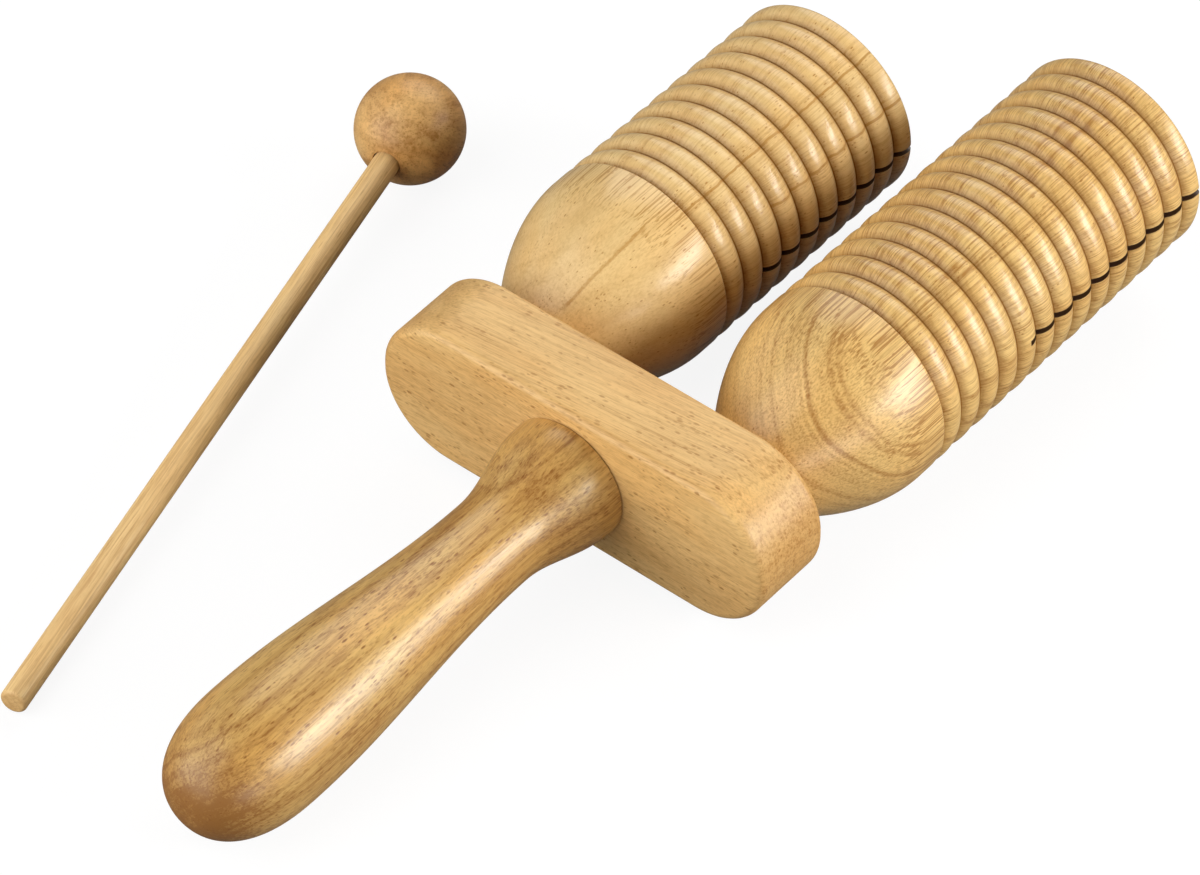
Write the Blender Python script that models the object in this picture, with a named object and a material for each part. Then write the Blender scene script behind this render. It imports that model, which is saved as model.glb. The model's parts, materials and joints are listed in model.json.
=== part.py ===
"""Wooden agogo: two ridged, hollow hardwood tubes on a crossbar with a turned handle, and a beater.

Run with: blender --background --python part.py
Units are metres, +Z is up, and the set lies on a table at z = 0 as it rests by itself.
The instrument is modelled in its own axes, with the handle along -Y and the tubes' mouths along +Y,
and its crossbar centred on the empty named instrument. That empty is then tipped until the noses of
the tubes and the bulb of the handle touch the table together. The beater lies beside the handle.
"""

import math

import bmesh
import bpy
from mathutils import Vector

# Joints between pieces
seat_gap = 0.0003

# Tubes, both turned to one pattern
tube_radius = 0.0250
tube_spacing = 0.0610
groove_pitch = 0.00680
groove_depth = 0.0016
bead_roundness = 2.2
mouth_section = 0.0054
mouth_rounding = 0.0013
nose_length = 0.0407
nose_shoulder = 0.0057
nose_flank = 0.0014
nose_end_radius = 0.0080
nose_roundness = 1.85
bore_radius = 0.0195
bore_floor_rounding = 0.0060
nose_thickness = 0.0250
grooves_low = 14
grooves_high = 10

# Saw kerfs that tune the tubes, measured back from the mouth and turned up from the tube's +X side
kerf_width = 0.0013
kerf_length_low = 0.0633
kerf_length_high = 0.0546
kerf_angle_low = math.radians(7.0)
kerf_angle_high = math.radians(-1.0)

# Crossbar
crossbar_width = 0.1070
crossbar_height = 0.0380
crossbar_thickness = 0.0220
crossbar_end_radius = 0.0184
crossbar_edge_rounding = 0.0020

# Handle, from its collar on the crossbar to its end
handle_length = 0.1254
collar_radius = 0.0153
collar_length = 0.0015
waist_radius = 0.0109
waist_at = 0.0255
bulb_radius = 0.01595
bulb_at = 0.1000
handle_end_fullness = 2.4
tenon_radius = 0.0080
tenon_length = 0.0160

# Wood screws that hold the tubes, with a washer each
screw_radius = 0.00225
screw_length = 0.0400
screw_point_length = 0.0050
screw_head_radius = 0.0044
screw_head_height = 0.0030
screw_head_fullness = 0.6
washer_radius = 0.0065
washer_thickness = 0.0012

# Beater
ball_radius = 0.0130
stick_radius = 0.00315
stick_reach = 0.1955
stick_end_chamfer = 0.0009
ball_bore_depth = 0.0170
beater_left_of_handle = 0.1057
beater_ahead_of_crossbar = 0.0605
beater_turn = math.radians(14.6)

# Fineness of the meshes
tube_sides = 36
handle_sides = 28
ball_sides = 24
stick_sides = 12
screw_sides = 16
washer_sides = 20


def clear_scene():
    for old in list(bpy.data.objects):
        bpy.data.objects.remove(old, do_unlink=True)


def finish(name, colour, roughness, metallic=0.0):
    """A plain material in the piece's colour."""
    material = bpy.data.materials.new(name)
    material.use_nodes = True
    shader = material.node_tree.nodes["Principled BSDF"]
    shader.inputs["Base Color"].default_value = (*colour, 1.0)
    shader.inputs["Roughness"].default_value = roughness
    shader.inputs["Metallic"].default_value = metallic
    return material


def empty(name, location=(0.0, 0.0, 0.0), rotation=(0.0, 0.0, 0.0)):
    holder = bpy.data.objects.new(name, None)
    holder.empty_display_size = 0.02
    holder.location = location
    holder.rotation_euler = rotation
    bpy.context.scene.collection.objects.link(holder)
    return holder


def piece(name, mesh, material, parent, location=(0.0, 0.0, 0.0)):
    """One physical piece: its own object, with its own material."""
    shape = bpy.data.objects.new(name, mesh)
    shape.location = location
    shape.parent = parent
    shape.data.materials.append(material)
    bpy.context.scene.collection.objects.link(shape)
    return shape


def shade_round(mesh):
    mesh.shade_smooth()
    mesh.set_sharp_from_angle(angle=math.radians(35.0))


def turned(name, profile, sides, closed=False):
    """Spin a profile of (distance along Y, radius) points once round the Y axis.

    An open profile starts and ends on the axis. A closed one is a wall that goes round a bore.
    """
    shape = bmesh.new()
    points = [shape.verts.new((0.0, along, radius)) for along, radius in profile]
    edges = [shape.edges.new(pair) for pair in zip(points, points[1:])]
    if closed:
        edges.append(shape.edges.new((points[-1], points[0])))
    bmesh.ops.spin(
        shape, geom=points + edges, cent=(0.0, 0.0, 0.0), axis=(0.0, 1.0, 0.0),
        angle=2.0 * math.pi, steps=sides, use_duplicate=False,
    )
    bmesh.ops.remove_doubles(shape, verts=shape.verts, dist=1e-6)
    bmesh.ops.recalc_face_normals(shape, faces=shape.faces)
    mesh = bpy.data.meshes.new(name)
    shape.to_mesh(mesh)
    shape.free()
    shade_round(mesh)
    return mesh


def arc(centre, radius, start, end, steps):
    """Points of a circular arc in a profile, as (along, radius), angles in degrees from +Y."""
    points = []
    for step in range(steps + 1):
        angle = math.radians(start + (end - start) * step / steps)
        points.append((centre[0] + radius * math.cos(angle), centre[1] + radius * math.sin(angle)))
    return points


def cut(target, cutter_mesh, name, location, rotation=(0.0, 0.0, 0.0)):
    """Cut a hole or a slot with a hidden cutter that rides with its piece."""
    cutter = bpy.data.objects.new(name, cutter_mesh)
    cutter.location = location
    cutter.rotation_euler = rotation
    cutter.parent = target.parent
    cutter.hide_render = True
    cutter.display_type = "WIRE"
    bpy.context.scene.collection.objects.link(cutter)
    hole = target.modifiers.new(name, "BOOLEAN")
    hole.operation = "DIFFERENCE"
    hole.solver = "EXACT"
    hole.object = cutter


def tube_length(grooves):
    return nose_length + (grooves - 1) * groove_pitch + mouth_section


def bead_radius(offset):
    """Radius across one bead, with offset -1 and 1 in the grooves and 0 on the crown."""
    return tube_radius - groove_depth * abs(offset) ** bead_roundness


def nose_profile():
    """From the small flat that meets the crossbar, round the bullet nose, to its shoulder."""
    curved_length = nose_length - nose_shoulder
    steps = 9
    shoulder_drop = 0.1 * groove_depth
    points = []
    for step in range(steps + 1):
        share = 1.0 - step / steps
        radius = tube_radius - (tube_radius - nose_end_radius) * share ** nose_roundness
        points.append((curved_length * (1.0 - share), radius))
    points.append((nose_length - nose_flank, tube_radius - shoulder_drop))
    return points


def tube_outside(grooves):
    """The turned outside of a tube, from its nose to the rounded rim of its mouth."""
    points = nose_profile()
    half_pitch = 0.5 * groove_pitch
    for groove in range(grooves):
        at_groove = nose_length + groove * groove_pitch
        points.append((at_groove, bead_radius(1.0)))
        offsets = (-0.6, 0.0, 0.6) if groove < grooves - 1 else (-0.6, 0.0)
        for offset in offsets:
            points.append((at_groove + half_pitch * (1.0 + offset), bead_radius(offset)))
    mouth = tube_length(grooves)
    points += arc((mouth - mouth_rounding, tube_radius - mouth_rounding), mouth_rounding, 90.0, 0.0, 3)
    return points


def tube_profile(grooves):
    """The whole wall of a tube: outside, mouth, bore, floor of the bore and the screw's hole."""
    mouth = tube_length(grooves)
    hole_radius = screw_radius + seat_gap
    inner_rounding = 0.5 * mouth_rounding
    points = tube_outside(grooves)
    points += arc((mouth - inner_rounding, bore_radius + inner_rounding), inner_rounding, 0.0, -90.0, 2)
    floor_centre = (nose_thickness + bore_floor_rounding, bore_radius - bore_floor_rounding)
    points += arc(floor_centre, bore_floor_rounding, 90.0, 180.0, 3)
    points.append((nose_thickness, hole_radius))
    points.append((0.0, hole_radius))
    return points


def kerf_cutter(name, length):
    """A blade-thin box along Y that starts inside the bore and ends outside the tube."""
    blade = bmesh.new()
    inner_edge = 0.5 * bore_radius
    outer_edge = tube_radius + 0.004
    size = (outer_edge - inner_edge, length, kerf_width)
    middle = (0.5 * (inner_edge + outer_edge), 0.5 * length, 0.0)
    bmesh.ops.create_cube(blade, size=1.0)
    bmesh.ops.scale(blade, vec=size, verts=blade.verts)
    bmesh.ops.translate(blade, vec=middle, verts=blade.verts)
    mesh = bpy.data.meshes.new(name)
    blade.to_mesh(mesh)
    blade.free()
    return mesh


def add_tube(name, side, grooves, kerf_length, kerf_angle, colour, instrument):
    """One tube on its side of the crossbar, -1 left or 1 right, with its saw kerf."""
    seat = Vector((side * 0.5 * tube_spacing, 0.5 * crossbar_thickness + seat_gap, 0.0))
    mesh = turned(name, tube_profile(grooves), tube_sides, closed=True)
    tube = piece(name, mesh, finish(name, colour, 0.35), instrument, seat)
    past_mouth = 0.005
    blade = kerf_cutter(name + "_kerf", kerf_length + past_mouth)
    start = seat + Vector((0.0, tube_length(grooves) - kerf_length, 0.0))
    cut(tube, blade, name + "_kerf", start, (0.0, -kerf_angle, 0.0))


def screw_profile():
    """A pan-head wood screw, from its point up to its head, its thread left plain."""
    point = -screw_length
    points = [(point, 0.0), (point + screw_point_length, screw_radius), (0.0, screw_radius)]
    points.append((0.0, screw_head_radius))
    steps = 4
    for step in range(1, steps + 1):
        angle = 0.5 * math.pi * step / steps
        radius = screw_head_radius * math.cos(angle) ** screw_head_fullness
        points.append((screw_head_height * math.sin(angle), radius))
    points[-1] = (screw_head_height, 0.0)
    return points


def washer_profile():
    hole_radius = screw_radius + seat_gap
    return [
        (0.0, hole_radius),
        (0.0, washer_radius),
        (washer_thickness, washer_radius),
        (washer_thickness, hole_radius),
    ]


def add_fixing(tube_name, side, instrument):
    """The screw and washer on the floor of a tube's bore, which pull its nose to the crossbar."""
    steel = (0.52, 0.50, 0.46)
    bore_floor = 0.5 * crossbar_thickness + seat_gap + nose_thickness
    washer_at = Vector((side * 0.5 * tube_spacing, bore_floor + seat_gap, 0.0))
    head_at = washer_at + Vector((0.0, washer_thickness + seat_gap, 0.0))
    washer_name = "washer_" + tube_name
    mesh = turned(washer_name, washer_profile(), washer_sides, closed=True)
    piece(washer_name, mesh, finish(washer_name, steel, 0.35, 1.0), instrument, washer_at)
    screw_name = "screw_" + tube_name
    mesh = turned(screw_name, screw_profile(), screw_sides)
    piece(screw_name, mesh, finish(screw_name, steel, 0.3, 1.0), instrument, head_at)


def crossbar_outline():
    """The crossbar seen along Y: a bar with rounded ends, as (x, z) points in order."""
    half_width = 0.5 * crossbar_width
    half_height = 0.5 * crossbar_height
    steps = 7
    outline = []
    for turn, (side_x, side_z) in enumerate(((1, 1), (-1, 1), (-1, -1), (1, -1))):
        centre_x = side_x * (half_width - crossbar_end_radius)
        centre_z = side_z * (half_height - crossbar_end_radius)
        for step in range(steps + 1):
            angle = 0.5 * math.pi * (turn + step / steps)
            x = centre_x + crossbar_end_radius * math.cos(angle)
            z = centre_z + crossbar_end_radius * math.sin(angle)
            outline.append((x, z))
    return outline


def screw_bite():
    """How far a screw reaches into the crossbar from its back face."""
    above_crossbar = nose_thickness + washer_thickness + 3.0 * seat_gap
    return screw_length - above_crossbar


def pilot_profile():
    """Cutter for a screw's bore in the crossbar, which keeps clear of the screw's point."""
    radius = screw_radius + seat_gap
    depth = screw_bite() + 2.0 * seat_gap
    past_face = 0.002
    return [(-depth, 0.0), (screw_point_length - depth, radius), (past_face, radius), (past_face, 0.0)]


def tenon_bore_profile():
    radius = tenon_radius + seat_gap
    depth = tenon_length + seat_gap
    past_face = 0.002
    return [(-past_face, 0.0), (-past_face, radius), (depth, radius), (depth, 0.0)]


def add_crossbar(instrument):
    bar = bmesh.new()
    front = -0.5 * crossbar_thickness
    corners = [bar.verts.new((x, front, z)) for x, z in crossbar_outline()]
    face = bar.faces.new(corners)
    grown = bmesh.ops.extrude_face_region(bar, geom=[face])
    moved = [item for item in grown["geom"] if isinstance(item, bmesh.types.BMVert)]
    bmesh.ops.translate(bar, vec=(0.0, crossbar_thickness, 0.0), verts=moved)
    bmesh.ops.recalc_face_normals(bar, faces=bar.faces)
    mesh = bpy.data.meshes.new("crossbar")
    bar.to_mesh(mesh)
    bar.free()
    shade_round(mesh)
    crossbar = piece("crossbar", mesh, finish("crossbar", (0.72, 0.45, 0.18), 0.38), instrument)
    rounding = crossbar.modifiers.new("edge_rounding", "BEVEL")
    rounding.width = crossbar_edge_rounding
    rounding.segments = 3
    rounding.limit_method = "ANGLE"
    rounding.angle_limit = math.radians(60.0)
    for side, name in ((1, "pilot_low"), (-1, "pilot_high")):
        pilot = turned(name, pilot_profile(), screw_sides)
        back = (side * 0.5 * tube_spacing, 0.5 * crossbar_thickness, 0.0)
        cut(crossbar, pilot, name, back)
    socket = turned("tenon_bore", tenon_bore_profile(), handle_sides)
    cut(crossbar, socket, "tenon_bore", (0.0, front, 0.0))


def handle_radius(distance):
    """Radius of the handle at a distance from its collar's face."""
    if distance <= collar_length:
        return collar_radius
    if distance <= waist_at:
        share = (distance - collar_length) / (waist_at - collar_length)
        return waist_radius + (collar_radius - waist_radius) * 0.5 * (1.0 + math.cos(math.pi * share))
    if distance <= bulb_at:
        share = (distance - waist_at) / (bulb_at - waist_at)
        return waist_radius + (bulb_radius - waist_radius) * 0.5 * (1.0 - math.cos(math.pi * share))
    share = min(1.0, (distance - bulb_at) / (handle_length - bulb_at))
    return bulb_radius * (1.0 - share ** handle_end_fullness) ** (1.0 / handle_end_fullness)


def handle_outside():
    """The turned outside of the handle, from its collar's face to its end, along -Y."""
    flare_steps = 6
    grip_steps = 9
    end_steps = 8
    distances = [0.0, collar_length]
    for step in range(1, flare_steps + 1):
        distances.append(collar_length + (waist_at - collar_length) * step / flare_steps)
    for step in range(1, grip_steps + 1):
        distances.append(waist_at + (bulb_at - waist_at) * step / grip_steps)
    for step in range(1, end_steps + 1):
        share = math.sin(0.5 * math.pi * step / end_steps)
        distances.append(bulb_at + (handle_length - bulb_at) * share)
    return [(-distance, handle_radius(distance)) for distance in distances]


def add_handle(instrument):
    """The handle, with the round tenon that is glued into the crossbar."""
    tenon = [(tenon_length, 0.0), (tenon_length, tenon_radius), (0.0, tenon_radius)]
    mesh = turned("handle", tenon + handle_outside(), handle_sides)
    seat = (0.0, -0.5 * crossbar_thickness - seat_gap, 0.0)
    piece("handle", mesh, finish("handle", (0.56, 0.28, 0.08), 0.32), instrument, seat)


def ball_profile():
    """The ball in its own axes, bored from its -Y side for the stick."""
    steps = 12
    hole_radius = stick_radius + seat_gap
    opening = math.degrees(math.asin(hole_radius / ball_radius))
    mouth = -math.sqrt(ball_radius ** 2 - hole_radius ** 2)
    points = arc((0.0, 0.0), ball_radius, 0.0, 90.0, steps // 2)
    points += arc((0.0, 0.0), ball_radius, 90.0, 180.0 - opening, steps // 2)[1:]
    points[0] = (ball_radius, 0.0)
    bore_end = mouth + ball_bore_depth
    return points + [(bore_end, hole_radius), (bore_end, 0.0)]


def stick_profile():
    mouth = -math.sqrt(ball_radius ** 2 - (stick_radius + seat_gap) ** 2)
    inner_end = mouth + ball_bore_depth - seat_gap
    flat = stick_radius - stick_end_chamfer
    return [
        (inner_end, 0.0),
        (inner_end, stick_radius),
        (-stick_reach + stick_end_chamfer, stick_radius),
        (-stick_reach, flat),
        (-stick_reach, 0.0),
    ]


def beater_slope():
    """Slope of the stick when the ball and the chamfered end of the stick both touch the table."""
    reach = stick_reach - stick_end_chamfer
    return math.asin(ball_radius / math.hypot(reach, stick_radius)) - math.atan2(stick_radius, reach)


def add_beater():
    place = (-beater_left_of_handle, beater_ahead_of_crossbar, ball_radius)
    beater = empty("beater", place, (beater_slope(), 0.0, beater_turn))
    ball = turned("beater_ball", ball_profile(), ball_sides)
    piece("beater_ball", ball, finish("beater_ball", (0.50, 0.25, 0.09), 0.4), beater)
    stick = turned("beater_stick", stick_profile(), stick_sides)
    piece("beater_stick", stick, finish("beater_stick", (0.60, 0.38, 0.17), 0.5), beater)
    return beater


def height_over_table(profile, offset, tilt):
    """How far the instrument's centre stands over the table when a turned piece touches it."""
    return max(radius * math.cos(tilt) - (along + offset) * math.sin(tilt) for along, radius in profile)


def rest_on_table():
    """The tilt at which noses and handle touch the table together, and the centre's height."""
    nose_offset = 0.5 * crossbar_thickness + seat_gap
    handle_offset = -nose_offset
    level = 0.0
    steep = math.radians(20.0)
    for _ in range(50):
        tilt = 0.5 * (level + steep)
        nose = height_over_table(tube_outside(grooves_low), nose_offset, tilt)
        grip = height_over_table(handle_outside(), handle_offset, tilt)
        if nose > grip:
            level = tilt
        else:
            steep = tilt
    return tilt, nose


def centre_on_origin(holders):
    """Move the set sideways until the middle of its box stands over the origin."""
    bpy.context.view_layer.update()
    viewport = bpy.context.evaluated_depsgraph_get()
    corners = []
    for shape in bpy.context.scene.objects:
        if shape.type == "MESH" and not shape.hide_render:
            solid = shape.evaluated_get(viewport)
            corners += [solid.matrix_world @ vertex.co for vertex in solid.data.vertices]
    for axis in (0, 1):
        values = [corner[axis] for corner in corners]
        middle = 0.5 * (min(values) + max(values))
        for holder in holders:
            holder.location[axis] -= middle


def main():
    clear_scene()
    tilt, height = rest_on_table()
    instrument = empty("instrument", (0.0, 0.0, height), (tilt, 0.0, 0.0))
    add_crossbar(instrument)
    add_handle(instrument)
    add_tube("tube_low", 1, grooves_low, kerf_length_low, kerf_angle_low, (0.73, 0.46, 0.19), instrument)
    add_tube("tube_high", -1, grooves_high, kerf_length_high, kerf_angle_high, (0.73, 0.47, 0.18), instrument)
    add_fixing("low", 1, instrument)
    add_fixing("high", -1, instrument)
    beater = add_beater()
    centre_on_origin((instrument, beater))
    bpy.context.view_layer.update()


main()
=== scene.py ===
"""Wooden agogo with its beater: finished pieces, wood surfaces, a plain table and soft studio light.

Laid out as an add-on and run as a script. It registers its panel and operators, then builds every piece.
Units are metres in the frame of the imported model, and each piece stands where its solid stands.
"""

import json
import math

import bpy
from mathutils import Matrix, Vector


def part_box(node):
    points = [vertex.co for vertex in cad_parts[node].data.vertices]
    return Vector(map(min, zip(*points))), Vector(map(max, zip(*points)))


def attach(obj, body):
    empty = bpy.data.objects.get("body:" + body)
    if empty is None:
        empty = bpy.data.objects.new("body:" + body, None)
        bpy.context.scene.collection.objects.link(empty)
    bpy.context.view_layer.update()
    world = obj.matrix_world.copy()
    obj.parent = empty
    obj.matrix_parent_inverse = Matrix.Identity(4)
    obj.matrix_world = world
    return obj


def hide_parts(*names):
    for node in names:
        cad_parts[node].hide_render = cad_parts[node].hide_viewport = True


bl_info = {
    "name": "Wooden Agogo",
    "version": (1, 0, 0),
    "blender": (4, 5, 0),
    "location": "3D View > Sidebar > Agogo",
    "description": "Builds a ridged wooden agogo with its beater, its lacquered wood and a studio stage",
    "category": "Add Mesh",
}

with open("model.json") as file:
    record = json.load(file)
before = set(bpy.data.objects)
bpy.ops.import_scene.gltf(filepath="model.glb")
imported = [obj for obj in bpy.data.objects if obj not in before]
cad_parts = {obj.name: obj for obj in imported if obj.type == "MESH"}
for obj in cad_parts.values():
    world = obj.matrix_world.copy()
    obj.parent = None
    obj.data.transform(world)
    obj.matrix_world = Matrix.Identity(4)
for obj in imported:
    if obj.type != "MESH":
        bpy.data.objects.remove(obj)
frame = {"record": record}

instrument_body = "instrument"
beater_body = "beater"


def mount(name):
    """Point and outward direction of one of the crossbar's flat faces."""
    for entry in frame["record"]["mounts"]:
        if entry["name"] == name:
            return Vector(entry["pos_m"]), Vector(entry["axis"])
    raise KeyError(name)


def instrument_axes():
    """Centre of the crossbar, with +Y to the mouths of the tubes and the tilt at which it rests."""
    top, upward = mount("crossbar_top")
    underside, _ = mount("crossbar_underside")
    tilt = math.atan2(-upward.y, upward.z)
    return Matrix.Translation((top + underside) / 2) @ Matrix.Rotation(tilt, 4, "X")


def box_centre(node):
    low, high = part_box(node)
    return (low + high) / 2


def length(name, description, default):
    return bpy.props.FloatProperty(
        name=name, description=description, default=default, unit="LENGTH", precision=5
    )


def angle(name, description, degrees):
    return bpy.props.FloatProperty(
        name=name, description=description, default=math.radians(degrees), subtype="ANGLE"
    )


def count(name, description, default):
    return bpy.props.IntProperty(name=name, description=description, default=default, min=1)


def colour(name, description, default):
    return bpy.props.FloatVectorProperty(
        name=name, description=description, default=default, subtype="COLOR", size=3, min=0.0, max=1.0
    )


class AgogoSizes(bpy.types.PropertyGroup):
    """Real sizes of the instrument and its beater."""

    seat_gap: length("Seat gap", "Gap between pieces that touch", 0.0003)
    tube_radius: length("Tube radius", "Radius over the beads", 0.0250)
    tube_spacing: length("Tube spacing", "Distance between the tubes' axes", 0.0610)
    groove_pitch: length("Groove pitch", "Distance from groove to groove", 0.00680)
    groove_depth: length("Groove depth", "Depth of a groove under the beads", 0.0016)
    mouth_section: length("Mouth section", "From the last groove to the rim", 0.0054)
    mouth_rounding: length("Mouth rounding", "Radius of the rim's outer edge", 0.0013)
    nose_length: length("Nose length", "From the crossbar to the first groove", 0.0407)
    nose_shoulder: length("Nose shoulder", "Straight stretch before the first groove", 0.0057)
    nose_flank: length("Nose flank", "Rounding of the shoulder into the first groove", 0.0014)
    nose_end_radius: length("Nose end radius", "Radius of the flat at the crossbar", 0.0080)
    bore_radius: length("Bore radius", "Inner radius of both tubes", 0.0195)
    bore_floor_rounding: length("Bore floor rounding", "Radius round the floor of a bore", 0.0060)
    nose_thickness: length("Nose thickness", "Solid wood between bore and crossbar", 0.0250)
    grooves_low: count("Grooves, low tube", "Grooves on the longer tube", 14)
    grooves_high: count("Grooves, high tube", "Grooves on the shorter tube", 10)
    kerf_width: length("Kerf width", "Width of the saw kerfs", 0.0013)
    kerf_length_low: length("Kerf, low tube", "Length of the kerf from the mouth", 0.0633)
    kerf_length_high: length("Kerf, high tube", "Length of the kerf from the mouth", 0.0546)
    kerf_angle_low: angle("Kerf angle, low tube", "Turn of the kerf up from the side", 7.0)
    kerf_angle_high: angle("Kerf angle, high tube", "Turn of the kerf up from the side", -1.0)
    crossbar_width: length("Crossbar width", "Across both tubes", 0.1070)
    crossbar_height: length("Crossbar height", "From underside to top", 0.0380)
    crossbar_thickness: length("Crossbar thickness", "Between the handle and the tubes", 0.0220)
    crossbar_end_radius: length("Crossbar end radius", "Radius of the rounded ends", 0.0184)
    crossbar_edge_rounding: length("Crossbar edge rounding", "Radius along the edges", 0.0020)
    handle_length: length("Handle length", "From the crossbar to the end", 0.1254)
    collar_radius: length("Collar radius", "Radius at the crossbar", 0.0153)
    collar_length: length("Collar length", "Straight stretch of the collar", 0.0015)
    waist_radius: length("Waist radius", "Radius at the thinnest place", 0.0109)
    waist_at: length("Waist place", "From the crossbar to the waist", 0.0255)
    bulb_radius: length("Bulb radius", "Radius at the thickest place", 0.01595)
    bulb_at: length("Bulb place", "From the crossbar to the bulb", 0.1000)
    tenon_radius: length("Tenon radius", "Radius of the glued tenon", 0.0080)
    tenon_length: length("Tenon length", "Length of the glued tenon", 0.0160)
    screw_radius: length("Screw radius", "Radius of a fixing screw's shank", 0.00225)
    screw_length: length("Screw length", "Length under the head", 0.0400)
    screw_point_length: length("Screw point", "Length of the point", 0.0050)
    screw_head_radius: length("Screw head radius", "Radius of the pan head", 0.0044)
    screw_head_height: length("Screw head height", "Height of the pan head", 0.0030)
    washer_radius: length("Washer radius", "Outer radius of a washer", 0.0065)
    washer_thickness: length("Washer thickness", "Thickness of a washer", 0.0012)
    ball_radius: length("Ball radius", "Radius of the beater's ball", 0.0130)
    ball_bore_depth: length("Ball bore depth", "Depth of the stick in the ball", 0.0170)
    stick_radius: length("Stick radius", "Radius of the beater's stick", 0.00315)
    stick_reach: length("Stick reach", "From the ball's centre to the free end", 0.1955)
    stick_end_chamfer: length("Stick chamfer", "Chamfer at the free end", 0.0009)
    beater_turn: angle("Beater turn", "Turn of the beater on the table", 14.6)


class AgogoFinish(bpy.types.PropertyGroup):
    """Colours of the woods and of the stage."""

    low_light: colour("Low tube wood", "Light wood of the long tube", (0.840, 0.568, 0.212))
    low_dark: colour("Low tube grain", "Darker grain of the long tube", (0.420, 0.200, 0.045))
    high_light: colour("High tube wood", "Light wood of the short tube", (0.855, 0.610, 0.272))
    high_dark: colour("High tube grain", "Darker grain of the short tube", (0.540, 0.290, 0.080))
    bar_light: colour("Crossbar wood", "Light wood of the crossbar", (0.865, 0.562, 0.222))
    bar_dark: colour("Crossbar grain", "Darker grain of the crossbar", (0.420, 0.195, 0.045))
    handle_light: colour("Handle wood", "Light wood of the handle", (0.745, 0.470, 0.150))
    handle_dark: colour("Handle grain", "Darker grain of the handle", (0.300, 0.120, 0.020))
    ball_light: colour("Ball wood", "Light wood of the ball", (0.870, 0.535, 0.205))
    ball_dark: colour("Ball grain", "Darker grain of the ball", (0.400, 0.175, 0.036))
    stick_light: colour("Stick wood", "Light wood of the stick", (0.950, 0.675, 0.310))
    stick_dark: colour("Stick grain", "Darker grain of the stick", (0.640, 0.370, 0.140))
    steel: colour("Steel", "Zinc-plated screws and washers", (0.520, 0.500, 0.460))
    floor: colour("Table", "The pale table under the set", (0.130, 0.130, 0.130))


def sizes():
    return bpy.context.scene.agogo_sizes


def finishes():
    return bpy.context.scene.agogo_finish


def deselect_all():
    if bpy.context.object and bpy.context.object.mode != "OBJECT":
        bpy.ops.object.mode_set(mode="OBJECT")
    bpy.ops.object.select_all(action="DESELECT")


def select_only(shape):
    deselect_all()
    shape.select_set(True)
    bpy.context.view_layer.objects.active = shape


def settle(shape, axes):
    """Put a modelled piece in its place, and keep that place in its mesh."""
    select_only(shape)
    shape.matrix_world = axes
    bpy.ops.object.transform_apply(location=True, rotation=True, scale=True)


def turned(name, profile, sides, closed=False):
    """Extrude one point along a profile of (along Y, radius), then spin the line round the Y axis."""
    deselect_all()
    bpy.ops.mesh.primitive_plane_add(size=0.001, location=(0.0, 0.0, 0.0))
    shape = bpy.context.object
    shape.name = name
    shape.data.name = name
    bpy.ops.object.mode_set(mode="EDIT")
    bpy.ops.mesh.merge(type="CENTER")
    path = profile + profile[:1] if closed else profile
    bpy.ops.transform.translate(value=(0.0, path[0][0], path[0][1]))
    for here, there in zip(path, path[1:]):
        move = (0.0, there[0] - here[0], there[1] - here[1])
        bpy.ops.mesh.extrude_region_move(TRANSFORM_OT_translate={"value": move})
    bpy.ops.mesh.select_all(action="SELECT")
    bpy.ops.mesh.remove_doubles(threshold=2e-6)
    bpy.ops.mesh.spin(steps=sides, angle=2.0 * math.pi, center=(0.0, 0.0, 0.0), axis=(0.0, 1.0, 0.0))
    bpy.ops.mesh.select_all(action="SELECT")
    bpy.ops.mesh.remove_doubles(threshold=2e-6)
    bpy.ops.mesh.normals_make_consistent(inside=False)
    bpy.ops.object.mode_set(mode="OBJECT")
    return shape


def smooth(shape, limit=30.0):
    select_only(shape)
    bpy.ops.object.shade_smooth_by_angle(angle=math.radians(limit))


def carve(shape, cutter):
    """Cut one piece with another, apply the cut and take the cutter away."""
    select_only(shape)
    cut = shape.modifiers.new("cut", "BOOLEAN")
    cut.operation = "DIFFERENCE"
    cut.solver = "EXACT"
    cut.object = cutter
    bpy.ops.object.modifier_apply(modifier=cut.name)
    bpy.data.objects.remove(cutter, do_unlink=True)


def stand_for(shape, node, body, material):
    """Give a finished piece its material and its body, and hide the CAD node that it stands for."""
    shape.data.materials.clear()
    shape.data.materials.append(material)
    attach(shape, body)
    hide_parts(node)


def arc(centre, radius, start, end, steps):
    """Points of an arc in a profile, as (along, radius), with angles in degrees from +Y."""
    points = []
    for step in range(steps + 1):
        turn = math.radians(start + (end - start) * step / steps)
        points.append((centre[0] + radius * math.cos(turn), centre[1] + radius * math.sin(turn)))
    return points


def tube_length(grooves):
    s = sizes()
    return s.nose_length + (grooves - 1) * s.groove_pitch + s.mouth_section


bead_roundness = 2.2
nose_roundness = 1.85
handle_end_fullness = 2.4


def bead_radius(offset):
    """Radius across one bead, with offset -1 and 1 in the grooves and 0 on the crown."""
    s = sizes()
    return s.tube_radius - s.groove_depth * abs(offset) ** bead_roundness


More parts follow.
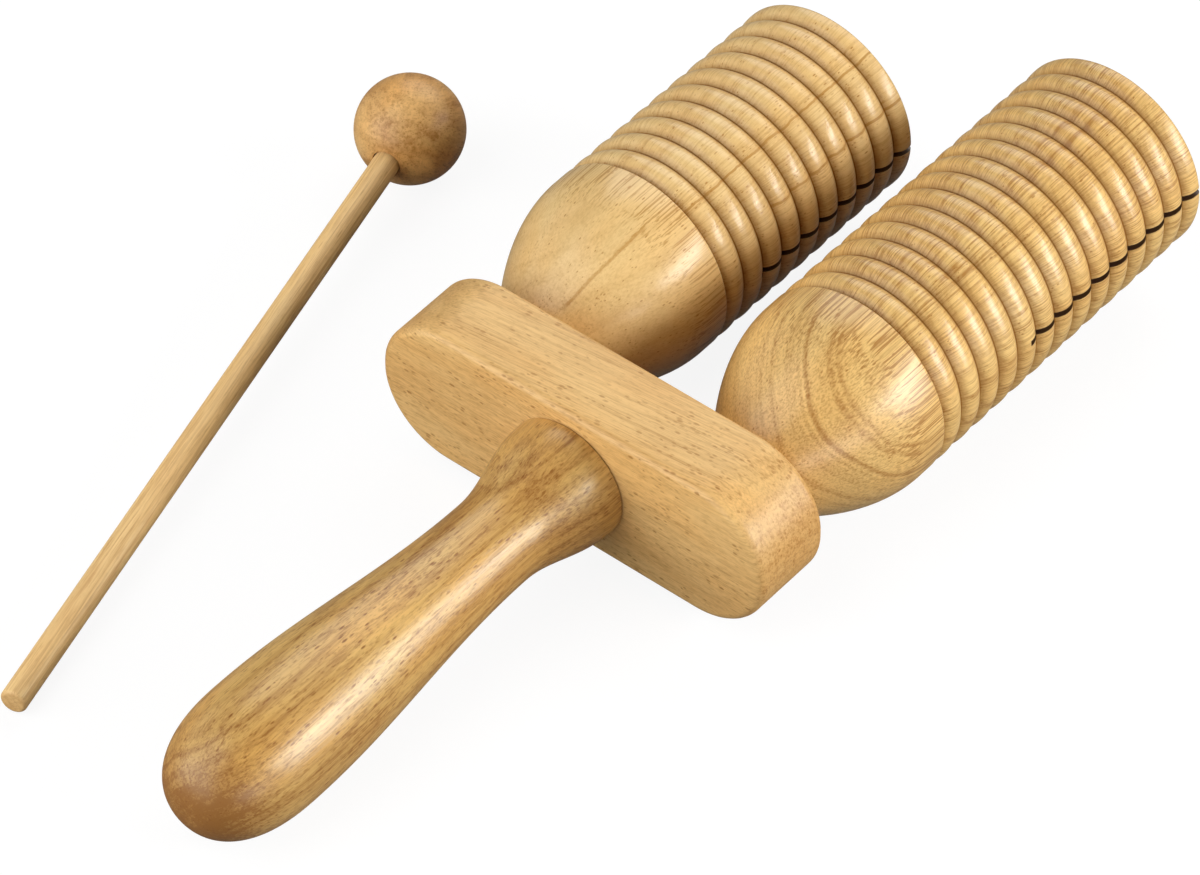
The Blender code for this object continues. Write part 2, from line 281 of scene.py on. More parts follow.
def tube_profile(grooves):
    """Wall of a tube: nose, shoulder, beads, rim, bore, floor of the bore and the screw's hole."""
    s = sizes()
    nose_steps = 40
    bead_steps = 12
    curved_length = s.nose_length - s.nose_shoulder
    points = []
    for step in range(nose_steps + 1):
        share = 1.0 - step / nose_steps
        radius = s.tube_radius - (s.tube_radius - s.nose_end_radius) * share ** nose_roundness
        points.append((curved_length * (1.0 - share), radius))
    flank_steps = 5
    groove_radius = bead_radius(1.0)
    for step in range(flank_steps):
        share = step / flank_steps
        radius = s.tube_radius - (s.tube_radius - groove_radius) * share ** bead_roundness
        points.append((s.nose_length - s.nose_flank * (1.0 - share), radius))
    half_pitch = 0.5 * s.groove_pitch
    for groove in range(grooves):
        at_groove = s.nose_length + groove * s.groove_pitch
        last = groove == grooves - 1
        steps = bead_steps // 2 if last else bead_steps - 1
        for step in range(steps + 1):
            offset = 2.0 * step / bead_steps - 1.0
            points.append((at_groove + half_pitch * (1.0 + offset), bead_radius(offset)))
    mouth = tube_length(grooves)
    rounding = s.mouth_rounding
    points += arc((mouth - rounding, s.tube_radius - rounding), rounding, 90.0, 0.0, 8)
    inner = 0.5 * rounding
    points += arc((mouth - inner, s.bore_radius + inner), inner, 0.0, -90.0, 6)
    floor_centre = (s.nose_thickness + s.bore_floor_rounding, s.bore_radius - s.bore_floor_rounding)
    points += arc(floor_centre, s.bore_floor_rounding, 90.0, 180.0, 10)
    hole_radius = s.screw_radius + s.seat_gap
    points.append((s.nose_thickness, hole_radius))
    points.append((0.0, hole_radius))
    return points


def tube_axes(side):
    """Axes of a tube at its seat on the crossbar, -1 left or 1 right."""
    s = sizes()
    seat = Vector((side * 0.5 * s.tube_spacing, 0.5 * s.crossbar_thickness + s.seat_gap, 0.0))
    return instrument_axes() @ Matrix.Translation(seat)


def kerf_blade(grooves, kerf_length, kerf_angle):
    """A thin block that reaches through one side of a tube, from its kerf's end to past its mouth."""
    s = sizes()
    past_mouth = 0.005
    inside = 0.5 * s.bore_radius
    outside = s.tube_radius + 0.004
    start = tube_length(grooves) - kerf_length
    end = tube_length(grooves) + past_mouth
    deselect_all()
    bpy.ops.mesh.primitive_cube_add(size=1.0, location=(0.5 * (inside + outside), 0.5 * (start + end), 0.0))
    blade = bpy.context.object
    blade.scale = (outside - inside, end - start, s.kerf_width)
    bpy.ops.object.transform_apply(location=True, rotation=True, scale=True)
    blade.rotation_euler = (0.0, -kerf_angle, 0.0)
    bpy.ops.object.transform_apply(location=False, rotation=True, scale=False)
    return blade


def add(tree, kind, **settings):
    """A new shader node with its settings."""
    node = tree.nodes.new(kind)
    for key, value in settings.items():
        setattr(node, key, value)
    return node


def feed(tree, node, **values):
    """Set or link the inputs of a node, by name with _ for a space."""
    for key, value in values.items():
        socket = node.inputs[key.replace("_", " ")]
        if isinstance(value, bpy.types.NodeSocket):
            tree.links.new(value, socket)
        else:
            socket.default_value = value
    return node


def maths(tree, operation, *values, clamp=False):
    node = add(tree, "ShaderNodeMath", operation=operation, use_clamp=clamp)
    for index, value in enumerate(values):
        if isinstance(value, bpy.types.NodeSocket):
            tree.links.new(value, node.inputs[index])
        else:
            node.inputs[index].default_value = value
    return node.outputs[0]


def ramp(tree, value, low, high, to_low=0.0, to_high=1.0):
    """Carry a value from one range to another, smoothly and within the ends."""
    node = add(tree, "ShaderNodeMapRange", interpolation_type="SMOOTHSTEP")
    feed(tree, node, Value=value, From_Min=low, From_Max=high, To_Min=to_low, To_Max=to_high)
    return node.outputs["Result"]


def stretched_noise(tree, place, across, along, detail=2.0, roughness=0.5):
    """Noise drawn out along the grain: across and along are in cells per metre."""
    stretch = add(tree, "ShaderNodeMapping", vector_type="POINT")
    feed(tree, stretch, Vector=place, Scale=(across, along, across))
    noise = add(tree, "ShaderNodeTexNoise", noise_dimensions="3D")
    feed(tree, noise, Vector=stretch.outputs["Vector"], Scale=1.0, Detail=detail, Roughness=roughness)
    return noise.outputs["Fac"]


def blend_colour(tree, share, first, second, mode="MIX"):
    node = add(tree, "ShaderNodeMix", data_type="RGBA", blend_type=mode)
    for socket, value in ((node.inputs[0], share), (node.inputs[6], first), (node.inputs[7], second)):
        if isinstance(value, bpy.types.NodeSocket):
            tree.links.new(value, socket)
        elif isinstance(value, (int, float)):
            socket.default_value = value
        else:
            socket.default_value = (*value, 1.0)
    return node.outputs[2]


def grain_place(tree, axes, seed):
    """Coordinates in metres in the board's own axes, with +Y along the grain."""
    where = add(tree, "ShaderNodeTexCoord")
    board = add(tree, "ShaderNodeMapping", vector_type="TEXTURE")
    start = axes @ Vector((0.0, -seed, 0.0))
    feed(tree, board, Vector=where.outputs["Object"], Location=start, Rotation=axes.to_euler("XYZ"))
    return board.outputs["Vector"]


def drawn_round(tree, place, radius, start):
    """Coordinates carried out from the axis to one radius past the start, so that fibres run over each bead."""
    parts = add(tree, "ShaderNodeSeparateXYZ")
    tree.links.new(place, parts.inputs[0])
    x, y, z = parts.outputs
    from_axis = maths(tree, "SQRT", maths(tree, "ADD", maths(tree, "MULTIPLY", x, x), maths(tree, "MULTIPLY", z, z)))
    share = maths(tree, "DIVIDE", radius, maths(tree, "MAXIMUM", from_axis, 0.001))
    share = maths(tree, "MULTIPLY_ADD", maths(tree, "SUBTRACT", share, 1.0), ramp(tree, y, start, start + 0.010), 1.0)
    round_place = add(tree, "ShaderNodeCombineXYZ")
    feed(tree, round_place, X=maths(tree, "MULTIPLY", x, share), Y=y, Z=maths(tree, "MULTIPLY", z, share))
    return round_place.outputs[0]


def growth_distance(tree, place, centre, sway):
    """Distance from the pith line, which runs along the grain beside the piece, with a slow sway."""
    drift = stretched_noise(tree, place, 45.0, 9.0, 2.0)
    to_pith = add(tree, "ShaderNodeVectorMath", operation="SUBTRACT")
    tree.links.new(place, to_pith.inputs[0])
    to_pith.inputs[1].default_value = (centre[0], 0.0, centre[1])
    flat = add(tree, "ShaderNodeVectorMath", operation="MULTIPLY")
    tree.links.new(to_pith.outputs[0], flat.inputs[0])
    flat.inputs[1].default_value = (1.0, 0.0, 1.0)
    distance = add(tree, "ShaderNodeVectorMath", operation="LENGTH")
    tree.links.new(flat.outputs[0], distance.inputs[0])
    return maths(tree, "MULTIPLY_ADD", maths(tree, "SUBTRACT", drift, 0.5), sway, distance.outputs["Value"])


def growth_bands(tree, distance, spacing):
    """Uneven bands of late wood, from 0 between bands to 1."""
    uneven = add(tree, "ShaderNodeTexNoise", noise_dimensions="1D")
    feed(tree, uneven, W=maths(tree, "MULTIPLY", distance, 1.0 / spacing), Scale=1.0, Detail=3.0, Roughness=0.6)
    return ramp(tree, uneven.outputs["Fac"], 0.42, 0.72)


def growth_lines(tree, distance, rings):
    """Thin dark lines where strong rings lie: distance from the pith, width and strength of each."""
    total = 0.0
    for place, width, strength in rings:
        off = maths(tree, "ABSOLUTE", maths(tree, "SUBTRACT", distance, place))
        total = maths(tree, "MAXIMUM", total, ramp(tree, off, 0.2 * width, width, strength, 0.0))
    return total


def pore_dashes(tree, place, across, along, thickness, share, crowding):
    """Open pores cut lengthwise into dashes: cell sizes in metres, thickness as a share of a cell."""
    stretch = add(tree, "ShaderNodeMapping", vector_type="POINT")
    feed(tree, stretch, Vector=place, Scale=(1.0 / across, 1.0 / along, 1.0 / across))
    cells = add(tree, "ShaderNodeTexVoronoi", voronoi_dimensions="3D", feature="F1")
    feed(tree, cells, Vector=stretch.outputs["Vector"], Scale=1.0, Randomness=1.0)
    chance = add(tree, "ShaderNodeSeparateColor")
    tree.links.new(cells.outputs["Color"], chance.inputs[0])
    reach = maths(tree, "MULTIPLY_ADD", chance.outputs[1], 0.5 * thickness, 0.5 * thickness)
    inside = maths(tree, "DIVIDE", maths(tree, "SUBTRACT", reach, cells.outputs["Distance"]), 0.45 * thickness)
    dash = maths(tree, "MULTIPLY", inside, 1.0, clamp=True)
    crowded = maths(tree, "MULTIPLY_ADD", crowding, 1.8 * share, 0.12 * share)
    present = maths(tree, "LESS_THAN", chance.outputs[0], crowded)
    depth = maths(tree, "MULTIPLY_ADD", chance.outputs[2], 0.7, 0.3)
    return maths(tree, "MULTIPLY", maths(tree, "MULTIPLY", dash, present), depth)


def end_grain(tree, axes):
    """How far a surface cuts across the fibres, from 0 along them to 1 straight across."""
    surface = add(tree, "ShaderNodeNewGeometry")
    across = add(tree, "ShaderNodeVectorMath", operation="DOT_PRODUCT")
    tree.links.new(surface.outputs["Normal"], across.inputs[0])
    across.inputs[1].default_value = (axes.to_3x3() @ Vector((0.0, 1.0, 0.0))).normalized()
    return maths(tree, "ABSOLUTE", across.outputs["Value"])


def wood(name, axes, seed, light, dark, look, own_lines=None):
    """Lacquered hardwood. Look holds the pith, and the strengths of rings, fibres, pores and gloss."""
    material = bpy.data.materials.new(name)
    material.use_nodes = True
    tree = material.node_tree
    shader = tree.nodes["Principled BSDF"]
    place = grain_place(tree, axes, seed)
    distance = growth_distance(tree, place, look["pith"], look["sway"])
    bands = growth_bands(tree, distance, look["spacing"])
    crowding = ramp(tree, stretched_noise(tree, place, 130.0, 40.0, 2.0, 0.55), 0.36, 0.68)
    broad = ramp(tree, stretched_noise(tree, place, 420.0, 14.0, 3.0, 0.6), 0.40, 0.70)
    fibres = drawn_round(tree, place, *look["round"]) if look["round"] else place
    hairs = ramp(tree, stretched_noise(tree, fibres, 2300.0, 34.0, 2.0, 0.55), 0.50, 0.62)
    threads = ramp(tree, stretched_noise(tree, fibres, 3100.0, 90.0, 1.0, 0.5), 0.46, 0.62)
    specks = ramp(tree, stretched_noise(tree, place, 2100.0, 420.0, 2.0, 0.6), 0.50, 0.70)
    clouds = ramp(tree, stretched_noise(tree, place, 60.0, 17.0, 2.0, 0.5), 0.32, 0.68)
    warmth = ramp(tree, stretched_noise(tree, place, 95.0, 30.0, 1.0, 0.5), 0.36, 0.64)
    pores = pore_dashes(
        tree, place, look["pore_across"], look["pore_along"], look["pore_width"], look["pore_share"], crowding,
    )
    cut = end_grain(tree, axes)
    across = ramp(tree, cut, look["end_start"], 0.95)
    lengthwise = ramp(tree, cut, 0.30, 0.85, 1.0, 0.30)
    combed = maths(tree, "MULTIPLY", hairs, maths(tree, "MULTIPLY_ADD", crowding, 0.8, 0.4))
    combed = maths(tree, "MULTIPLY", combed, lengthwise)
    threads = maths(tree, "MULTIPLY", threads, lengthwise)
    mottle = maths(tree, "MULTIPLY", ramp(tree, stretched_noise(tree, place, 1300.0, 1300.0, 2.0, 0.6), 0.46, 0.64), across)
    darkness = maths(tree, "MULTIPLY", bands, look["bands"])
    for layer, strength in (
        (broad, "broad"), (combed, "hairs"), (threads, "threads"), (specks, "specks"), (clouds, "clouds"),
        (across, "end_grain"), (mottle, "mottle"),
    ):
        darkness = maths(tree, "MULTIPLY_ADD", layer, look[strength], darkness)
    if own_lines:
        darkness = maths(tree, "ADD", own_lines(tree, distance, hairs), darkness)
    darkness = maths(tree, "MULTIPLY", darkness, 1.0, clamp=True)
    deepened = tuple(channel * share for channel, share in zip(dark, (0.80, 0.64, 0.42)))
    reddened = tuple(channel * share for channel, share in zip(light, (1.02, 0.84, 0.62)))
    tone = blend_colour(tree, maths(tree, "MULTIPLY", warmth, look["warmth"]), light, reddened)
    tone = blend_colour(tree, darkness, tone, dark)
    tone = blend_colour(tree, maths(tree, "MULTIPLY", pores, look["pores"]), tone, deepened)
    rough = maths(tree, "MULTIPLY_ADD", hairs, 0.08, look["roughness"] - 0.03)
    rough = maths(tree, "MULTIPLY_ADD", across, 0.25 * look["thirst"], rough)
    thirsty = maths(tree, "MULTIPLY", across, look["thirst"])
    unlacquered = maths(tree, "MAXIMUM", maths(tree, "MULTIPLY", pores, 0.8), thirsty)
    lacquer = maths(tree, "MULTIPLY_ADD", unlacquered, -look["lacquer"], look["lacquer"])
    relief = maths(tree, "MULTIPLY_ADD", pores, -0.5, maths(tree, "MULTIPLY", hairs, -0.4))
    bump = add(tree, "ShaderNodeBump")
    feed(tree, bump, Strength=look["relief"], Distance=0.0001, Height=relief)
    feed(tree, shader, Base_Color=tone, Roughness=rough, Normal=bump.outputs["Normal"])
    feed(tree, shader, Coat_Weight=lacquer, Coat_Roughness=look["sheen"], Coat_IOR=1.45, IOR=1.45)
    feed(tree, shader, Specular_IOR_Level=look["specular"], Specular_Tint=(*look["gleam"], 1.0))
    tree.links.new(bump.outputs["Normal"], shader.inputs["Coat Normal"])
    return material, tree, shader, tone


def look_of(**changes):
    """The common figure of the light hardwood, with a piece's own changes."""
    look = {
        "pith": (0.030, -0.030), "sway": 0.003, "spacing": 0.0016,
        "bands": 0.18, "broad": 0.10, "hairs": 0.26, "threads": 0.38, "specks": 0.18, "mottle": 0.26, "clouds": 0.12, "warmth": 0.30,
        "end_grain": 0.14, "end_start": 0.25, "thirst": 0.0, "fringe": 0.70,
        "pores": 0.90, "pore_across": 0.00056, "pore_along": 0.0018, "pore_width": 0.44, "pore_share": 0.14,
        "roughness": 0.40, "relief": 0.25, "lacquer": 0.40, "sheen": 0.24, "specular": 0.50, "gleam": (1.0, 0.93, 0.78),
        "round": None,
    }
    look.update(changes)
    return look


def tube_place(tree, axes):
    """The three coordinates of a tube's own axes: +Y along it from the nose, +Z up."""
    where = add(tree, "ShaderNodeTexCoord")
    own = add(tree, "ShaderNodeMapping", vector_type="TEXTURE")
    start = axes.to_translation()
    feed(tree, own, Vector=where.outputs["Object"], Location=start, Rotation=axes.to_euler("XYZ"))
    parts = add(tree, "ShaderNodeSeparateXYZ")
    tree.links.new(own.outputs["Vector"], parts.inputs[0])
    return parts.outputs


def streak_distance(tree, x, z, around):
    """Distance from the plane that holds the tube's axis and stands at an angle from straight up."""
    first = maths(tree, "MULTIPLY", x, math.cos(around))
    second = maths(tree, "MULTIPLY", z, math.sin(around))
    return maths(tree, "SUBTRACT", first, second)


def mineral_streaks(tree, place, streaks):
    """Brown streaks that run along the tube: angle, start, end, width and strength of each."""
    x, y, z = place
    side = maths(tree, "GREATER_THAN", x, 0.0)
    wander = add(tree, "ShaderNodeTexNoise", noise_dimensions="1D")
    feed(tree, wander, W=y, Scale=110.0, Detail=3.0, Roughness=0.6)
    drift = maths(tree, "MULTIPLY_ADD", wander.outputs["Fac"], 0.0014, -0.0007)
    total = 0.0
    for around, start, end, width, strength in streaks:
        off = maths(tree, "ABSOLUTE", maths(tree, "ADD", streak_distance(tree, x, z, around), drift))
        body = ramp(tree, off, 0.25 * width, width, strength, 0.0)
        begun = ramp(tree, y, start, start + 0.002)
        ended = ramp(tree, y, end - 0.002, end, 1.0, 0.0)
        total = maths(tree, "MAXIMUM", total, maths(tree, "MULTIPLY", body, maths(tree, "MULTIPLY", begun, ended)))
    return maths(tree, "MULTIPLY", total, side)


def fed_by(shader, socket):
    """What already feeds one of a shader's sockets."""
    return shader.inputs[socket].links[0].from_socket


def stain_and_shade_tube(tree, shader, tone, place, grooves, kerf_length, kerf_angle):
    """Darker grooves, partly dark bare wood and partly painted shade up the bead flanks, and painted shade on the kerf
    walls.
    """
    s = sizes()
    x, y, z = place
    radius = maths(tree, "SQRT", maths(tree, "ADD", maths(tree, "MULTIPLY", x, x), maths(tree, "MULTIPLY", z, z)))
    depth = maths(tree, "SUBTRACT", radius, s.tube_radius - s.groove_depth)
    on_wall = maths(tree, "GREATER_THAN", depth, -0.0006)
    ridged = maths(tree, "GREATER_THAN", y, s.nose_length - 0.002)
    on_ridges = maths(tree, "MULTIPLY", on_wall, ridged)
    # painted shade: a darkening that reaches 1.4 mm up the bead flanks from each groove
    painted_flank_shade = ramp(tree, depth, 0.0, 0.0014, 0.50, 0.0)
    sharp = ramp(tree, depth, 0.00008, 0.00044, 0.88, 0.0)
    groove = maths(tree, "MULTIPLY", maths(tree, "MAXIMUM", painted_flank_shade, sharp), on_ridges)
    # groove colour: dark bare wood at the groove bottoms and painted shade up the bead flanks
    tone = blend_colour(tree, groove, tone, (0.250, 0.096, 0.006))
    lacquered = maths(tree, "MULTIPLY", fed_by(shader, "Coat Weight"), maths(tree, "SUBTRACT", 1.0, groove))
    rough = maths(tree, "MULTIPLY_ADD", groove, 0.30, fed_by(shader, "Roughness"))
    feed(tree, shader, Coat_Weight=lacquered, Roughness=rough)
    # painted shade: the kerf walls and their edges are coloured near-black, where the slot lies in shade
    near = maths(tree, "ABSOLUTE", streak_distance(tree, x, z, math.pi / 2.0 - kerf_angle))
    near = maths(tree, "LESS_THAN", near, 0.5 * s.kerf_width + 0.00008)
    right = maths(tree, "GREATER_THAN", x, 0.0)
    reached = maths(tree, "GREATER_THAN", y, tube_length(grooves) - kerf_length - 0.0001)
    painted_kerf_shade = maths(tree, "MULTIPLY", maths(tree, "MULTIPLY", near, right), reached)
    # painted shade colour for the kerf walls
    tone = blend_colour(tree, maths(tree, "MULTIPLY", painted_kerf_shade, 0.92), tone, (0.052, 0.019, 0.010))
    tree.links.new(tone, shader.inputs["Base Color"])


def tube_wood(name, side, grooves, kerf_length, kerf_angle, tones, look, seed):
    """The tubes' wood: strong rings show on the rounded nose, and streaks along the side."""
    s = sizes()
    axes = tube_axes(side)
    held = []

    def own_lines(tree, distance, hairs):
        place = tube_place(tree, axes)
        held.append(place)
        rings = growth_lines(tree, distance, look["rings"])
        shoulder = ramp(tree, place[1], s.nose_length - 0.017, s.nose_length - 0.007)
        shoulder = maths(tree, "MULTIPLY", shoulder, ramp(tree, place[1], s.nose_length, s.nose_length + 0.001, 1.0, 0.3))
        fringe = maths(tree, "MULTIPLY", maths(tree, "MULTIPLY", shoulder, hairs), look["fringe"])
        on_nose = ramp(tree, place[1], s.nose_length - 0.003, s.nose_length + 0.002, 1.0, 0.25)
        streaks = maths(tree, "ADD", fringe, mineral_streaks(tree, place, look["streaks"]))
        return maths(tree, "MULTIPLY_ADD", rings, on_nose, streaks)

    material, tree, shader, tone = wood(name, axes, seed, *tones, look, own_lines)
    stain_and_shade_tube(tree, shader, tone, held[0], grooves, kerf_length, kerf_angle)
    return material


class AGOGO_OT_tubes(bpy.types.Operator):
    """Turn, bore and saw the two ridged tubes"""

    bl_idname = "agogo.tubes"
    bl_label = "Tubes"

    def execute(self, context):
        f = finishes()
        s = sizes()
        low_rings = (
            (0.0500, 0.0006, 0.20), (0.0520, 0.0005, 0.25), (0.0567, 0.0004, 0.22), (0.0577, 0.0005, 0.42),
            (0.0608, 0.0006, 0.34), (0.0617, 0.0004, 0.22),
        )
        low_streaks = (
            (math.radians(12.0), 0.098, 0.121, 0.0014, 0.40), (math.radians(21.0), 0.056, 0.065, 0.0010, 0.40),
        )
        high_streaks = (
            (math.radians(30.0), 0.036, 0.135, 0.0004, 0.95), (math.radians(59.5), 0.060, 0.135, 0.00045, 0.95),
            (math.radians(22.0), 0.006, 0.031, 0.0006, 0.55),
        )
        low_seed, high_seed = 0.31, 0.74
        past_nose = s.nose_length - 0.011
        low_look = look_of(
            pith=(-0.0283, -0.0283), sway=0.004, threads=0.40, round=(s.tube_radius, low_seed + past_nose), rings=low_rings,
            streaks=low_streaks, lacquer=0.64, sheen=0.23, gleam=(1.0, 0.98, 0.93), pore_share=0.20,
        )
        high_look = look_of(
            pith=(0.032, -0.032), sway=0.0015, spacing=0.0034, bands=0.14, threads=0.14, hairs=0.16, mottle=0.40, fringe=0.62, pore_share=0.40,
            round=(s.tube_radius, high_seed + past_nose), rings=(), streaks=high_streaks, lacquer=0.62, sheen=0.17,
        )
        low_tones = (f.low_light, f.low_dark)
        high_tones = (f.high_light, f.high_dark)
        plan = (
            ("tube_low", 1, s.grooves_low, s.kerf_length_low, s.kerf_angle_low, low_tones, low_look, low_seed),
            ("tube_high", -1, s.grooves_high, s.kerf_length_high, s.kerf_angle_high, high_tones, high_look, high_seed),
        )
        for node, side, grooves, kerf_length, kerf_angle, tones, look, seed in plan:
            tube = turned(node + "_turned", tube_profile(grooves), 144, closed=True)
            carve(tube, kerf_blade(grooves, kerf_length, kerf_angle))
            smooth(tube, 28.0)
            settle(tube, tube_axes(side))
            material = tube_wood(node + "_wood", side, grooves, kerf_length, kerf_angle, tones, look, seed)
            stand_for(tube, node, instrument_body, material)
        return {"FINISHED"}


def bevel_edges(shape, wanted, radius, segments):
    """Round the edges of a shape whose two ends pass a test."""
    select_only(shape)
    bpy.ops.object.mode_set(mode="EDIT")
    bpy.ops.mesh.select_mode(type="EDGE")
    bpy.ops.mesh.select_all(action="DESELECT")
    bpy.ops.object.mode_set(mode="OBJECT")
    for edge in shape.data.edges:
        first, second = (shape.data.vertices[index].co for index in edge.vertices)
        edge.select = wanted(first, second)
    bpy.ops.object.mode_set(mode="EDIT")
    bpy.ops.mesh.bevel(offset=radius, segments=segments, affect="EDGES", clamp_overlap=True)
    bpy.ops.mesh.select_mode(type="VERT")
    bpy.ops.object.mode_set(mode="OBJECT")


def crossbar_block():
    """A block with rounded ends and softened edges, from a cube and two bevels."""
    s = sizes()
    deselect_all()
    bpy.ops.mesh.primitive_cube_add(size=1.0, location=(0.0, 0.0, 0.0))
    bar = bpy.context.object
    bar.name = "crossbar_block"
    bar.data.name = "crossbar_block"
    bar.scale = (s.crossbar_width, s.crossbar_thickness, s.crossbar_height)
    bpy.ops.object.transform_apply(location=True, rotation=True, scale=True)
    through = 0.5 * s.crossbar_thickness
    bevel_edges(bar, lambda a, b: abs(a.y - b.y) > through, s.crossbar_end_radius, 24)
    bevel_edges(bar, lambda a, b: abs(a.y - b.y) < 1e-6, s.crossbar_edge_rounding, 6)
    return bar


def bore_cutter(radius, start, end, x):
    """A round cutter along Y."""
    deselect_all()
    bpy.ops.mesh.primitive_cylinder_add(
        vertices=48, radius=radius, depth=end - start,
        location=(x, 0.5 * (start + end), 0.0), rotation=(math.radians(90.0), 0.0, 0.0),
    )
    return bpy.context.object


class AGOGO_OT_crossbar(bpy.types.Operator):
    """Shape the crossbar and bore it for the handle and the screws"""

    bl_idname = "agogo.crossbar"
    bl_label = "Crossbar"

    def execute(self, context):
        s = sizes()
        f = finishes()
        bar = crossbar_block()
        half = 0.5 * s.crossbar_thickness
        past_face = 0.002
        carve(bar, bore_cutter(s.tenon_radius + s.seat_gap, -half - past_face, s.tenon_length - half + s.seat_gap, 0.0))
        bite = s.screw_length - s.nose_thickness - s.washer_thickness - s.seat_gap
        for side in (-1, 1):
            x = side * 0.5 * s.tube_spacing
            carve(bar, bore_cutter(s.screw_radius + s.seat_gap, half - bite, half + past_face, x))
        smooth(bar, 28.0)
        settle(bar, instrument_axes())
        look = look_of(
            pith=(0.012, -0.050), sway=0.005, spacing=0.0020, bands=0.12, broad=0.18, hairs=0.20, threads=0.20,
            specks=0.20, clouds=0.10, pores=0.76, pore_across=0.00075, pore_along=0.0018, pore_width=0.60,
            pore_share=0.30, end_grain=0.36,
            roughness=0.44, lacquer=0.20, sheen=0.32,
        )
        along_bar = instrument_axes() @ Matrix.Rotation(math.radians(-84.0), 4, "Z")
        material = wood("crossbar_wood", along_bar, 0.52, f.bar_light, f.bar_dark, look)[0]
        stand_for(bar, "crossbar", instrument_body, material)
        return {"FINISHED"}


def handle_radius(distance):
    """Radius of the handle at a distance from its collar's face."""
    s = sizes()
    if distance <= s.collar_length:
        return s.collar_radius
    if distance <= s.waist_at:
        share = (distance - s.collar_length) / (s.waist_at - s.collar_length)
        return s.waist_radius + (s.collar_radius - s.waist_radius) * 0.5 * (1.0 + math.cos(math.pi * share))
    if distance <= s.bulb_at:
        share = (distance - s.waist_at) / (s.bulb_at - s.waist_at)
        return s.waist_radius + (s.bulb_radius - s.waist_radius) * 0.5 * (1.0 - math.cos(math.pi * share))
    share = min(1.0, (distance - s.bulb_at) / (s.handle_length - s.bulb_at))
    return s.bulb_radius * (1.0 - share ** handle_end_fullness) ** (1.0 / handle_end_fullness)


def handle_profile():
    s = sizes()
    edge = 0.0003
    face = s.seat_gap - 0.00008
    points = [(s.tenon_length, 0.0), (s.tenon_length, s.tenon_radius), (face, s.tenon_radius)]
    points += [(face, s.collar_radius - edge), (face - edge, s.collar_radius)]
    flare_steps = 20
    grip_steps = 40
    end_steps = 36
    for step in range(1, flare_steps + 1):
        distance = s.collar_length + (s.waist_at - s.collar_length) * step / flare_steps
        points.append((-distance, handle_radius(distance)))
    for step in range(1, grip_steps + 1):
        distance = s.waist_at + (s.bulb_at - s.waist_at) * step / grip_steps
        points.append((-distance, handle_radius(distance)))
    end_length = s.handle_length - s.bulb_at
    for step in range(1, end_steps + 1):
        distance = s.bulb_at + end_length * math.sin(0.5 * math.pi * step / end_steps)
        points.append((-distance, handle_radius(distance)))
    return points


class AGOGO_OT_handle(bpy.types.Operator):
    """Turn the handle with its tenon"""

    bl_idname = "agogo.handle"
    bl_label = "Handle"

    def execute(self, context):
        s = sizes()
        f = finishes()
        handle = turned("handle_turned", handle_profile(), 128)
        smooth(handle, 35.0)
        seat = Matrix.Translation((0.0, -0.5 * s.crossbar_thickness - s.seat_gap, 0.0))
        axes = instrument_axes() @ seat
        settle(handle, axes)
        look = look_of(
            pith=(0.034, -0.034), sway=0.007, spacing=0.0016, bands=0.24, broad=0.26, hairs=0.24, threads=0.16,
            specks=0.34, clouds=0.30, warmth=0.50, pores=1.0, pore_across=0.00070, pore_along=0.0026,
            pore_width=0.47, pore_share=0.44, end_grain=0.57, end_start=0.05, thirst=0.7, mottle=0.22, roughness=0.34, lacquer=0.24,
            sheen=0.26, specular=0.88, gleam=(1.0, 0.97, 0.80),
        )
        material = wood("handle_wood", axes, 0.93, f.handle_light, f.handle_dark, look)[0]
        stand_for(handle, "handle", instrument_body, material)
        return {"FINISHED"}


def steel_finish():
    """Zinc-plated steel with faint turning marks."""
    material = bpy.data.materials.new("zinc_steel")
    material.use_nodes = True
    tree = material.node_tree
    shader = tree.nodes["Principled BSDF"]
    where = add(tree, "ShaderNodeTexCoord")
    marks = add(tree, "ShaderNodeTexNoise", noise_dimensions="3D")
    feed(tree, marks, Vector=where.outputs["Object"], Scale=1800.0, Detail=3.0)
    steel = finishes().steel
    shaded = tuple(0.7 * channel for channel in steel)
    tone = blend_colour(tree, marks.outputs["Fac"], steel, shaded)
    rough = ramp(tree, marks.outputs["Fac"], 0.2, 0.8, 0.26, 0.42)
    feed(tree, shader, Base_Color=tone, Roughness=rough, Metallic=1.0)
    return material


def screw_profile():
    s = sizes()
    point = -s.screw_length
    points = [(point, 0.0), (point + s.screw_point_length, s.screw_radius), (0.0, s.screw_radius)]
    points.append((0.0, s.screw_head_radius))
    steps = 14
    for step in range(1, steps):
        turn = 0.5 * math.pi * step / steps
        points.append((s.screw_head_height * math.sin(turn), s.screw_head_radius * math.cos(turn) ** 0.6))
    points.append((s.screw_head_height, 0.0))
    return points


def recess_blade(turn):
    """One arm of the cross-shaped recess in a screw's head."""
    s = sizes()
    depth = 0.7 * s.screw_head_height
    deselect_all()
    bpy.ops.mesh.primitive_cube_add(size=1.0, location=(0.0, s.screw_head_height, 0.0))
    blade = bpy.context.object
    blade.scale = (1.1 * s.screw_head_radius, 2.0 * depth, 0.2 * s.screw_head_radius)
    blade.rotation_euler = (0.0, math.radians(turn), 0.0)
    bpy.ops.object.transform_apply(location=True, rotation=True, scale=True)
    return blade


